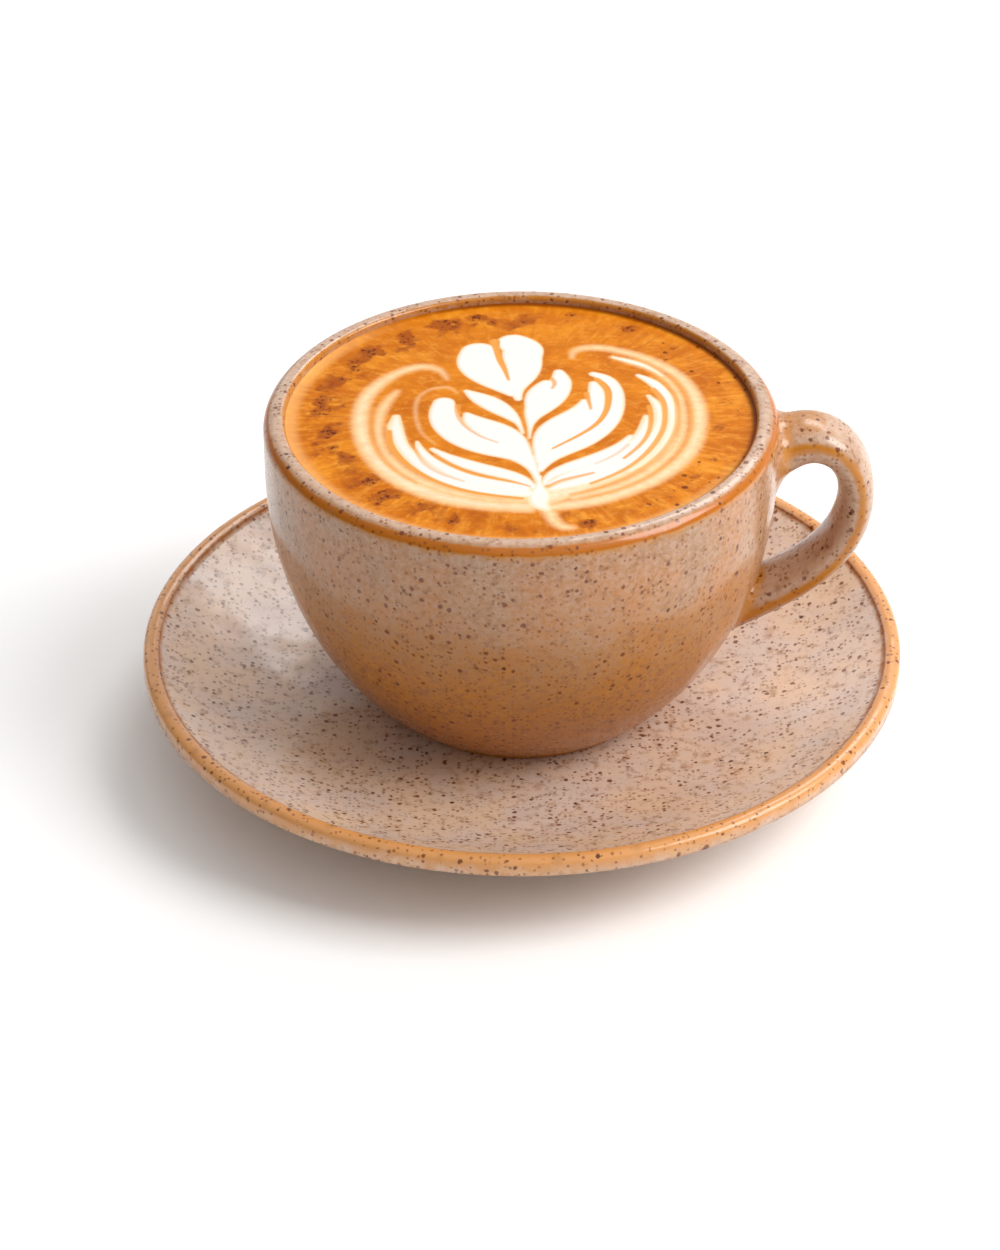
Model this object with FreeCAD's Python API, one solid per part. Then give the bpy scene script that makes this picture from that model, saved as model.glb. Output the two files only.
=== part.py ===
"""A latte in a wide stoneware cup on its saucer.

Frame: +Z up, origin at the middle of the saucer's foot, the cup's handle along +X.
All sizes are in millimetres. Profiles are drawn as (radius, height) and turned about Z.
"""

import FreeCAD, Part
import math
import os

# Saucer: a dished plate on a turned foot ring, with a raised bead at its edge.
SAUCER_RADIUS = 76.0
SAUCER_HEIGHT = 20.0
SAUCER_WALL = 3.8
WELL_RADIUS = 31.0
WELL_HEIGHT = 8.2
BEAD_WIDTH = 3.2
BEAD_RISE = 0.8
EDGE_ROUND = 1.3
SAUCER_FOOT_RADIUS = 41.0
SAUCER_FOOT_WIDTH = 5.0
SAUCER_FOOT_ROUND = 1.2

# Cup: a thick bowl whose side stands upright near the lip and curves under to a low foot.
CUP_RADIUS = 50.0
CUP_HEIGHT = 63.6
CUP_WALL = 4.3
CUP_UPRIGHT = 11.8
BASE_RADIUS = 29.6
CUP_FOOT_RADIUS = 27.4
CUP_FOOT_WIDTH = 4.0
CUP_FOOT_HEIGHT = 2.4
CUP_FOOT_ROUND = 0.7
FLOOR_THICKNESS = 5.0
BOWL_FULLNESS = 2.5
LIP_OUTER_ROUND = 2.7
LIP_INNER_ROUND = 0.9

# Handle: a strap that leaves the side below the lip, loops out and comes back low down.
HANDLE_TOP = 6.3
HANDLE_REACH = 15.5
HANDLE_DROP = 40.8
HANDLE_TOP_WIDTH = 13.6
HANDLE_LOW_WIDTH = 11.6
HANDLE_THICKNESS = 7.0
HANDLE_ROOT_THICKNESS = 14.5
HANDLE_SQUARENESS = 2.4
HANDLE_SECTIONS = 13
# The loop's middle line: shares of the reach out from the side, and of the drop.
HANDLE_COURSE = (
    (-0.55, 0.2), (0.08, 0.035), (0.38, 0.0), (0.74, 0.045),
    (1.0, 0.24), (0.86, 0.54), (0.23, 0.785), (-1.09, 1.0),
)

# Drink: fills the bowl to just under the lip.
FILL_DEPTH = 1.4
DRINK_CLEARANCE = 0.3

CURVE_POINTS = 9
SECTION_POINTS = 24
ABOVE_LIP = 5.0
ORIGIN = FreeCAD.Vector(0, 0, 0)
AXIS = FreeCAD.Vector(0, 0, 1)
SIDEWAYS = FreeCAD.Vector(0, 1, 0)
FULL_TURN = 360.0

BASE_HEIGHT = WELL_HEIGHT + CUP_FOOT_HEIGHT
LIP_HEIGHT = WELL_HEIGHT + CUP_HEIGHT
CURVE_HEIGHT = LIP_HEIGHT - CUP_UPRIGHT
BOWL_RADIUS = CUP_RADIUS - CUP_WALL
BOWL_FLOOR = BASE_HEIGHT + FLOOR_THICKNESS
DRINK_LEVEL = LIP_HEIGHT - FILL_DEPTH


def at(radius, height):
    """A profile's point in the XZ plane."""
    return FreeCAD.Vector(radius, 0, height)


def line(start, end):
    """A straight edge."""
    return Part.LineSegment(start, end).toShape()


def arc(start, middle, end):
    """An edge along the circle through three points."""
    return Part.Arc(start, middle, end).toShape()


def smooth(points):
    """An edge along one smooth curve through the points."""
    curve = Part.BSplineCurve()
    curve.interpolate(points)
    return curve.toShape()


def ease(before, tip, after, radius):
    """Where a round of the given radius starts, is half way and ends at a corner."""
    back = (before - tip).normalize()
    ahead = (after - tip).normalize()
    half_angle = back.getAngle(ahead) / 2
    reach = radius / math.tan(half_angle)
    inward = (back + ahead).normalize()
    middle = tip + inward * (radius / math.sin(half_angle) - radius)
    return tip + back * reach, middle, tip + ahead * reach


def run(points, rounds):
    """Straight edges through the points; rounds gives a radius for a corner's index."""
    edges = []
    start = points[0]
    for index in range(1, len(points)):
        tip = points[index]
        if index in rounds:
            begin, middle, end = ease(points[index - 1], tip, points[index + 1], rounds[index])
            edges += [line(start, begin), arc(begin, middle, end)]
            start = end
        else:
            edges.append(line(start, tip))
            start = tip
    return edges


def turned(edges):
    """The solid swept by a closed profile in one turn about Z, its seam away from the handle."""
    face = Part.Face(Part.Wire(edges))
    face.rotate(ORIGIN, AXIS, FULL_TURN / 2)
    return face.revolve(ORIGIN, AXIS, FULL_TURN)


def make_saucer():
    """A dished plate: the well flat, the side one arc, the underside parallel to it."""
    bead_inner = at(SAUCER_RADIUS - BEAD_WIDTH, SAUCER_HEIGHT - BEAD_RISE)
    run_out = bead_inner.x - WELL_RADIUS
    rise = bead_inner.z - WELL_HEIGHT
    dish_radius = (run_out ** 2 + rise ** 2) / (2 * rise)
    under_radius = dish_radius + SAUCER_WALL
    centre_height = WELL_HEIGHT + dish_radius

    def on_arc(radius, arc_radius):
        """A point of the dish or the underside at a distance from the axis."""
        drop = math.sqrt(arc_radius ** 2 - (radius - WELL_RADIUS) ** 2)
        return at(radius, centre_height - drop)

    foot_inner = SAUCER_FOOT_RADIUS - SAUCER_FOOT_WIDTH
    under_floor = WELL_HEIGHT - SAUCER_WALL
    dish_middle = on_arc((WELL_RADIUS + bead_inner.x) / 2, dish_radius)
    bead_top = at(SAUCER_RADIUS - BEAD_WIDTH / 2, SAUCER_HEIGHT)
    bead_outer = at(SAUCER_RADIUS, SAUCER_HEIGHT - EDGE_ROUND)
    edge_low = on_arc(SAUCER_RADIUS, under_radius)
    under_start = on_arc(SAUCER_RADIUS - EDGE_ROUND, under_radius)
    edge_end, edge_middle, _ = ease(bead_outer, edge_low, under_start, EDGE_ROUND)
    foot_start = on_arc(SAUCER_FOOT_RADIUS, under_radius)
    under_middle = on_arc((SAUCER_FOOT_RADIUS + under_start.x) / 2, under_radius)
    edges = [
        line(at(0, WELL_HEIGHT), at(WELL_RADIUS, WELL_HEIGHT)),
        arc(at(WELL_RADIUS, WELL_HEIGHT), dish_middle, bead_inner),
        arc(bead_inner, bead_top, bead_outer),
        line(bead_outer, edge_end),
        arc(edge_end, edge_middle, under_start),
        arc(under_start, under_middle, foot_start),
    ]
    foot = [
        foot_start,
        at(SAUCER_FOOT_RADIUS, 0),
        at(foot_inner, 0),
        at(foot_inner, under_floor),
        at(0, under_floor),
        at(0, WELL_HEIGHT),
    ]
    edges += run(foot, {1: SAUCER_FOOT_ROUND, 2: SAUCER_FOOT_ROUND})
    return turned(edges)


def side_depth():
    """How far the side's quarter ellipse would reach down if it ran to the axis."""
    return (CURVE_HEIGHT - BASE_HEIGHT) / math.sqrt(1 - (BASE_RADIUS / CUP_RADIUS) ** 2)


def make_body():
    """The cup's outer form, filled up to the lip."""
    depth = side_depth()
    start_angle = math.asin(BASE_RADIUS / CUP_RADIUS)
    side = []
    for step in range(CURVE_POINTS):
        angle = start_angle + (math.pi / 2 - start_angle) * step / (CURVE_POINTS - 1)
        side.append(at(CUP_RADIUS * math.sin(angle), CURVE_HEIGHT - depth * math.cos(angle)))
    foot_inner = CUP_FOOT_RADIUS - CUP_FOOT_WIDTH
    foot = [
        at(0, BASE_HEIGHT),
        at(foot_inner, BASE_HEIGHT),
        at(foot_inner, WELL_HEIGHT),
        at(CUP_FOOT_RADIUS, WELL_HEIGHT),
        at(CUP_FOOT_RADIUS, BASE_HEIGHT),
        side[0],
    ]
    lip = [side[-1], at(CUP_RADIUS, LIP_HEIGHT), at(0, LIP_HEIGHT), at(0, BASE_HEIGHT)]
    edges = run(foot, {2: CUP_FOOT_ROUND, 3: CUP_FOOT_ROUND})
    edges.append(smooth(side))
    edges += run(lip, {1: LIP_OUTER_ROUND})
    return turned(edges)


def bowl_curve(clearance):
    """The inside of the bowl from its floor up to the upright part, drawn in by a clearance."""
    radius = BOWL_RADIUS - clearance
    floor = BOWL_FLOOR + clearance
    depth = CURVE_HEIGHT - floor
    power = 2 / BOWL_FULLNESS
    points = []
    for step in range(CURVE_POINTS):
        angle = math.pi / 2 * step / (CURVE_POINTS - 1)
        out = radius * math.sin(angle) ** power
        down = depth * max(0.0, math.cos(angle)) ** power
        points.append(at(out, CURVE_HEIGHT - down))
    return points


def make_bowl_space():
    """What the bowl leaves open, flared by the round at the lip's inner edge."""
    side = bowl_curve(0)
    round_low = at(BOWL_RADIUS, LIP_HEIGHT - LIP_INNER_ROUND)
    centre = at(BOWL_RADIUS + LIP_INNER_ROUND, LIP_HEIGHT - LIP_INNER_ROUND)
    lean = LIP_INNER_ROUND * math.sqrt(0.5)
    round_middle = at(centre.x - lean, centre.z + lean)
    round_high = at(centre.x, LIP_HEIGHT)
    edges = [
        smooth(side),
        line(side[-1], round_low),
        arc(round_low, round_middle, round_high),
    ]
    top = [round_high, at(centre.x, LIP_HEIGHT + ABOVE_LIP), at(0, LIP_HEIGHT + ABOVE_LIP), side[0]]
    edges += run(top, {})
    return turned(edges)


def handle_section(centre, along, width, thickness):
    """A closed oval across the strap, wide along Y."""
    inward = along.cross(SIDEWAYS).normalize()
    power = 2 / HANDLE_SQUARENESS
    points = []
    for step in range(SECTION_POINTS):
        angle = 2 * math.pi * step / SECTION_POINTS
        across = math.copysign(abs(math.cos(angle)) ** power, math.cos(angle))
        outward = math.copysign(abs(math.sin(angle)) ** power, math.sin(angle))
        points.append(centre + SIDEWAYS * (across * width / 2) + inward * (outward * thickness / 2))
    curve = Part.BSplineCurve()
    curve.interpolate(points, True)
    return Part.Wire(curve.toShape())


def make_handle():
    """The strap, with its ends run on into the side and thickened at the roots."""
    crest_height = LIP_HEIGHT - HANDLE_TOP
    course = []
    for out, down in HANDLE_COURSE:
        course.append(at(CUP_RADIUS + out * HANDLE_REACH, crest_height - down * HANDLE_DROP))
    middle_line = Part.BSplineCurve()
    middle_line.interpolate(course)
    first = middle_line.FirstParameter
    last = middle_line.LastParameter
    sections = []
    for step in range(HANDLE_SECTIONS):
        share = step / (HANDLE_SECTIONS - 1)
        parameter = first + (last - first) * share
        root_share = abs(2 * share - 1) ** 3
        width = HANDLE_TOP_WIDTH + (HANDLE_LOW_WIDTH - HANDLE_TOP_WIDTH) * share
        thickness = HANDLE_THICKNESS + (HANDLE_ROOT_THICKNESS - HANDLE_THICKNESS) * root_share
        centre = middle_line.value(parameter)
        along = middle_line.tangent(parameter)[0]
        sections.append(handle_section(centre, along, width, thickness))
    return Part.makeLoft(sections, True)


def make_cup():
    """Body and handle as one piece, with the bowl opened last so that it trims the strap's ends."""
    return make_body().fuse(make_handle()).cut(make_bowl_space())


def make_latte():
    """The drink, from just off the bowl's floor up to its level."""
    side = bowl_curve(DRINK_CLEARANCE)
    top = [side[-1], at(side[-1].x, DRINK_LEVEL), at(0, DRINK_LEVEL), side[0]]
    return turned([smooth(side)] + run(top, {}))


def main():
    os.makedirs("parts", exist_ok=True)
    pieces = {"saucer": make_saucer(), "cup": make_cup(), "latte": make_latte()}
    for node, shape in pieces.items():
        shape.exportStep(f"parts/{node}.step")
        volume = sum(solid.Volume for solid in shape.Solids)
        box = shape.BoundBox
        print(node, len(shape.Solids), shape.isValid(), round(volume / 1000, 1), "cm3", box)


main()
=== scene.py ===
"""A latte in a speckled stoneware cup on its saucer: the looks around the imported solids.

Everything is in metres, with +Z up, the cup's axis on Z and its handle along +X.
"""
import logging
import math
from dataclasses import dataclass
from enum import Enum

import bmesh
import bpy
import numpy as np
from mathutils import Matrix, Vector


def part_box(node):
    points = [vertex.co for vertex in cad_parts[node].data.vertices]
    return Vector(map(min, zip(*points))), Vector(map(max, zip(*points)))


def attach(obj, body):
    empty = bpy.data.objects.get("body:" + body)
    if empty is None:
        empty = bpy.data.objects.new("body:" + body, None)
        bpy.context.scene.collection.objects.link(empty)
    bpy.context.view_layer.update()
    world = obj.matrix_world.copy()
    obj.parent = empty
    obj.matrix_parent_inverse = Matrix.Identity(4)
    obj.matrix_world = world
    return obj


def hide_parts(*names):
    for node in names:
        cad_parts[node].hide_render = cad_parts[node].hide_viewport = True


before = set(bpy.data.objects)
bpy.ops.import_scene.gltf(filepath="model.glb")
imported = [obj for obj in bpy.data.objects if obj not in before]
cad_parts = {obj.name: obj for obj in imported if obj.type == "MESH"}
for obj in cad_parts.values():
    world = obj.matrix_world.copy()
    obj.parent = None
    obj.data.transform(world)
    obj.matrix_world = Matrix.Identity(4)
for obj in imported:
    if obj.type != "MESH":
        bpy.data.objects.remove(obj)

LOG = logging.getLogger("latte")
MM = 0.001
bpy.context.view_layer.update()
ROOT = "root"
FULL_TURN = 2 * math.pi
QUARTER_TURN = math.pi / 2


def srgb(code: str) -> tuple[float, float, float, float]:
    """A linear colour from a six-digit display colour.

    Args:
        code: Red, green and blue as six hexadecimal digits.

    Returns:
        Linear red, green, blue and a full alpha.
    """
    channels = []
    for start in (0, 2, 4):
        value = int(code[start:start + 2], 16) / 255
        linear = value / 12.92 if value <= 0.04045 else ((value + 0.055) / 1.055) ** 2.4
        channels.append(linear)
    return (*channels, 1.0)


# ---------------------------------------------------------------- shader maths


class Expr:
    """A socket's value, on which Python's operators add Math nodes."""

    def __init__(self, graph: "Graph", socket: bpy.types.NodeSocket) -> None:
        """Wrap one output socket of a graph."""
        self.graph = graph
        self.socket = socket

    def _math(self, operation: str, *values: object) -> "Expr":
        """Add one Math node on these values, in order."""
        return self.graph.node("ShaderNodeMath", {"operation": operation}, dict(enumerate(values)))

    def __add__(self, other: object) -> "Expr":
        """Return self + other."""
        return self._math("ADD", self, other)

    __radd__ = __add__

    def __sub__(self, other: object) -> "Expr":
        """Return self - other."""
        return self._math("SUBTRACT", self, other)

    def __rsub__(self, other: object) -> "Expr":
        """Return other - self."""
        return self._math("SUBTRACT", other, self)

    def __mul__(self, other: object) -> "Expr":
        """Return self * other."""
        return self._math("MULTIPLY", self, other)

    __rmul__ = __mul__

    def __truediv__(self, other: object) -> "Expr":
        """Return self / other."""
        return self._math("DIVIDE", self, other)

    def __rtruediv__(self, other: object) -> "Expr":
        """Return other / self."""
        return self._math("DIVIDE", other, self)

    def root(self) -> "Expr":
        """Return the square root."""
        return self._math("SQRT", self)

    def rise(self, low: float, high: float, bottom: object = 0.0, top: object = 1.0) -> "Expr":
        """Ease from bottom to top while the value goes from low to high.

        Args:
            low: Value at which the result is bottom.
            high: Value at which the result is top; it may be under low.
            bottom: Result at low.
            top: Result at high.

        Returns:
            The eased value.
        """
        settings = {"interpolation_type": "SMOOTHSTEP"}
        values = {"Value": self, "From Min": low, "From Max": high, "To Min": bottom, "To Max": top}
        return self.graph.node("ShaderNodeMapRange", settings, values)


class Graph:
    """The nodes of one material or of the world."""

    def __init__(self, owner: bpy.types.Material | bpy.types.World) -> None:
        """Empty the owner's node tree.

        Args:
            owner: The material or world whose nodes these are.
        """
        owner.use_nodes = True
        self.owner = owner
        self.tree = owner.node_tree
        self.tree.nodes.clear()

    def node(self, kind: str, settings: dict | None = None, values: dict | None = None,
             output: str | int = 0) -> Expr:
        """Add a node.

        Args:
            kind: The node's type.
            settings: Its own settings, set first.
            values: Values or links for its sockets, by name or index.
            output: Name or index of the output to return.

        Returns:
            The chosen output.
        """
        made = self.tree.nodes.new(kind)
        for key, value in (settings or {}).items():
            setattr(made, key, value)
        for key, value in (values or {}).items():
            if isinstance(value, Expr):
                self.tree.links.new(value.socket, made.inputs[key])
            else:
                made.inputs[key].default_value = value
        return Expr(self, made.outputs[output])

    def place(self) -> Expr:
        """Return the object coordinates."""
        return self.node("ShaderNodeTexCoord", output="Object")

    def axes(self, vector: Expr) -> list[Expr]:
        """Split a vector.

        Args:
            vector: The vector.

        Returns:
            Its X, Y and Z.
        """
        first = self.node("ShaderNodeSeparateXYZ", None, {0: vector})
        return [Expr(self, output) for output in first.socket.node.outputs]

    def stretched(self, vector: Expr, scale: tuple[float, float, float]) -> Expr:
        """Scale a coordinate along each axis."""
        return self.node("ShaderNodeMapping", None, {"Vector": vector, "Scale": scale})

    def noise(self, vector: Expr, scale: float, detail: float = 2.0, roughness: float = 0.5) -> Expr:
        """Add a noise.

        Args:
            vector: Where the noise is read.
            scale: Features in each unit of the vector.
            detail: How many finer layers it has.
            roughness: How strong the finer layers are.

        Returns:
            A value from about 0 to 1.
        """
        values = {"Vector": vector, "Scale": scale, "Detail": detail, "Roughness": roughness}
        return self.node("ShaderNodeTexNoise", None, values, "Fac")

    def shifted(self, vector: Expr, scale: float, amount: float) -> Expr:
        """Push a coordinate about by a noise.

        Args:
            vector: The coordinate.
            scale: Features of the noise in each unit.
            amount: Width of the range of pushes.

        Returns:
            The bent coordinate.
        """
        kind = "ShaderNodeVectorMath"
        noise = self.node("ShaderNodeTexNoise", None, {"Vector": vector, "Scale": scale}, "Color")
        centred = self.node(kind, {"operation": "SUBTRACT"}, {0: noise, 1: (0.5, 0.5, 0.5)})
        push = self.node(kind, {"operation": "SCALE"}, {0: centred, "Scale": amount})
        return self.node(kind, {"operation": "ADD"}, {0: vector, 1: push})

    def dots(self, vector: Expr, cell: float, share: float, size: float, soft: float = 0.35) -> Expr:
        """Scatter dots of uneven size.

        Args:
            vector: Where the pattern is read.
            cell: Spacing of the cells in metres, each of which may hold one dot.
            share: Share of the cells that hold a dot.
            size: Radius of the largest dot, in cells.
            soft: How soft a dot's edge is, as a share of its size.

        Returns:
            1 in a dot and 0 outside it.
        """
        values = {"Vector": vector, "Scale": 1 / cell, "Randomness": 1.0}
        distance = self.node("ShaderNodeTexVoronoi", None, values, "Distance")
        tint = Expr(self, distance.socket.node.outputs["Color"])
        chance = self.node("ShaderNodeSeparateColor", None, {0: tint}, "Red")
        radius = chance.rise(1 - share, 1.0, 0.0, size)
        blur = soft * size * 0.5
        return (radius - distance).rise(-blur, blur) * chance.rise(1 - share, 1 - share * 0.9)

    def mix(self, factor: Expr, first: Expr | tuple, second: Expr | tuple) -> Expr:
        """Mix two colours.

        Args:
            factor: Share of the second colour.
            first: The colour at factor 0.
            second: The colour at factor 1.

        Returns:
            The mixed colour.
        """
        return self.node("ShaderNodeMix", {"data_type": "RGBA"}, {0: factor, 6: first, 7: second}, 2)

    def attribute(self, name: str) -> Expr:
        """Return a number that the mesh carries at its points."""
        return self.node("ShaderNodeAttribute", {"attribute_name": name}, None, "Fac")

    def bump(self, height: Expr, strength: float, distance: float) -> Expr:
        """Return a normal bent by a height, given in units of distance."""
        values = {"Height": height, "Strength": strength, "Distance": distance}
        return self.node("ShaderNodeBump", None, values)

    def end(self, output: str, shader: Expr) -> None:
        """Lead a shader to the graph's output node, of the kind named."""
        made = self.tree.nodes.new(output)
        self.tree.links.new(shader.socket, made.inputs["Surface"])

    def surface(self, values: dict) -> bpy.types.Material:
        """End the graph in a Principled surface.

        Args:
            values: Values or links for its sockets, by name.

        Returns:
            The material.
        """
        self.end("ShaderNodeOutputMaterial", self.node("ShaderNodeBsdfPrincipled", None, values))
        return self.owner


# -------------------------------------------------------------------- finishes


@dataclass(frozen=True)
class Glaze:
    """A pale speckled glaze that breaks to orange-brown where it runs thin."""

    name: str
    pale: str = "dcb898"
    cool: str = "d2b9aa"
    warm: str = "b27d4c"
    warm_top: float = 0.030
    warm_bottom: float = 0.016
    warm_most: float = 0.9
    clay: str = "a97f5c"
    raw_below: float = 0.0012
    raw_within: float = 0.045
    thin: str = "d39356"
    edge: str = "b8690c"
    greyed: str = "c0a28c"
    milky: str = "e2cdbd"
    honey: str = "cf9146"
    rust: str = "6f3a08"
    fleck: str = "8b5a33"
    halo: str = "a5713f"
    fine_speck: str = "7e4616"
    speck: str = "6e3409"
    iron: str = "4c2204"

    def make(self) -> bpy.types.Material:
        """Build the material.

        Returns:
            The glaze's material.
        """
        graph = Graph(bpy.data.materials.new(self.name))
        place = graph.place()
        x, y, z = graph.axes(place)
        cloud = graph.noise(place, 70, 3, 0.6)
        grain = graph.noise(place, 520, 3, 0.7)
        base = graph.mix(cloud.rise(0.35, 0.68), srgb(self.pale), srgb(self.cool))
        wobble = (cloud - 0.5) * 0.022 + (grain - 0.5) * 0.012
        grey = graph.attribute("grey")
        warmth = (z + wobble).rise(self.warm_top, self.warm_bottom) * self.warm_most * (1 - grey * 0.8)
        base = graph.mix(grey * 0.65, base, srgb(self.greyed))
        base = graph.mix(warmth, base, srgb(self.warm))
        base = self._mottled(graph, place, base, warmth, grain)
        base = self._breaks(graph, place, base)
        base = self._speckles(graph, place, base)
        raw = z.rise(self.raw_below, self.raw_below * 0.6) * (x * x + y * y).root().rise(
            self.raw_within, self.raw_within * 0.95)
        base = graph.mix(raw, base, srgb(self.clay))
        rough = raw.rise(0, 1, 0.20, 0.75) + grain.rise(0.4, 0.8, 0.0, 0.07)
        swell = graph.noise(place, 95, 1, 0.4) + graph.noise(place, 700, 1, 0.4) * 0.035
        normal = graph.bump(swell, 0.5, 0.0010)
        return graph.surface({"Base Color": base, "Roughness": rough, "Normal": normal, "IOR": 1.52})

    def _mottled(self, graph: Graph, place: Expr, base: Expr, warmth: Expr, grain: Expr) -> Expr:
        """Break up the colour finely, in milky flecks above and in rusty ones where it is warm.

        Args:
            graph: The material's nodes.
            place: The object coordinates.
            base: The colour so far.
            warmth: How warm the glaze is.
            grain: A fine noise.

        Returns:
            The mottled colour.
        """
        mottle = graph.noise(place, 900, 2, 0.6)
        base = graph.mix(mottle.rise(0.3, 0.75, 0.0, 0.24) * (1 - warmth * 0.85), base, srgb(self.milky))
        base = graph.mix(grain.rise(0.44, 0.30) * warmth * 0.35, base, srgb(self.honey))
        base = graph.mix(mottle.rise(0.50, 0.66) * warmth * 0.45, base, srgb(self.rust))
        return graph.mix(grain.rise(0.50, 0.72, 0.0, 0.62), base, srgb(self.fleck))

    def _breaks(self, graph: Graph, place: Expr, base: Expr) -> Expr:
        """Colour the places where the glaze is thin.

        Args:
            graph: The material's nodes.
            place: The object coordinates.
            base: The colour so far.

        Returns:
            The colour with its breaks.
        """
        patch = (graph.noise(place, 260, 3, 0.6) - 0.5) * 0.9
        thin = graph.attribute("thin")
        edge = graph.attribute("edge")
        base = graph.mix((thin + patch).rise(0.12, 0.95) * thin.rise(0.0, 0.2), base, srgb(self.thin))
        # On the saucer this edge line also carries painted shade in the crease inside the bead.
        return graph.mix((edge + patch).rise(0.15, 0.85) * edge.rise(0.0, 0.15), base, srgb(self.edge))

    def _speckles(self, graph: Graph, place: Expr, base: Expr) -> Expr:
        """Scatter dark iron specks of three sizes over faint halos.

        Args:
            graph: The material's nodes.
            place: The object coordinates.
            base: The colour so far.

        Returns:
            The speckled colour.
        """
        bent = graph.shifted(place, 1500, 0.0006)
        for cell, share, size, soft, strength, colour in (
                (0.0030, 0.50, 0.32, 1.6, 0.45, self.halo),
                (0.0009, 0.60, 0.42, 0.6, 0.72, self.fine_speck),
                (0.0017, 0.62, 0.30, 0.4, 0.88, self.speck),
                (0.0034, 0.45, 0.14, 0.4, 0.95, self.iron)):
            base = graph.mix(graph.dots(bent, cell, share, size, soft) * strength, base, srgb(colour))
        return base


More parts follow.
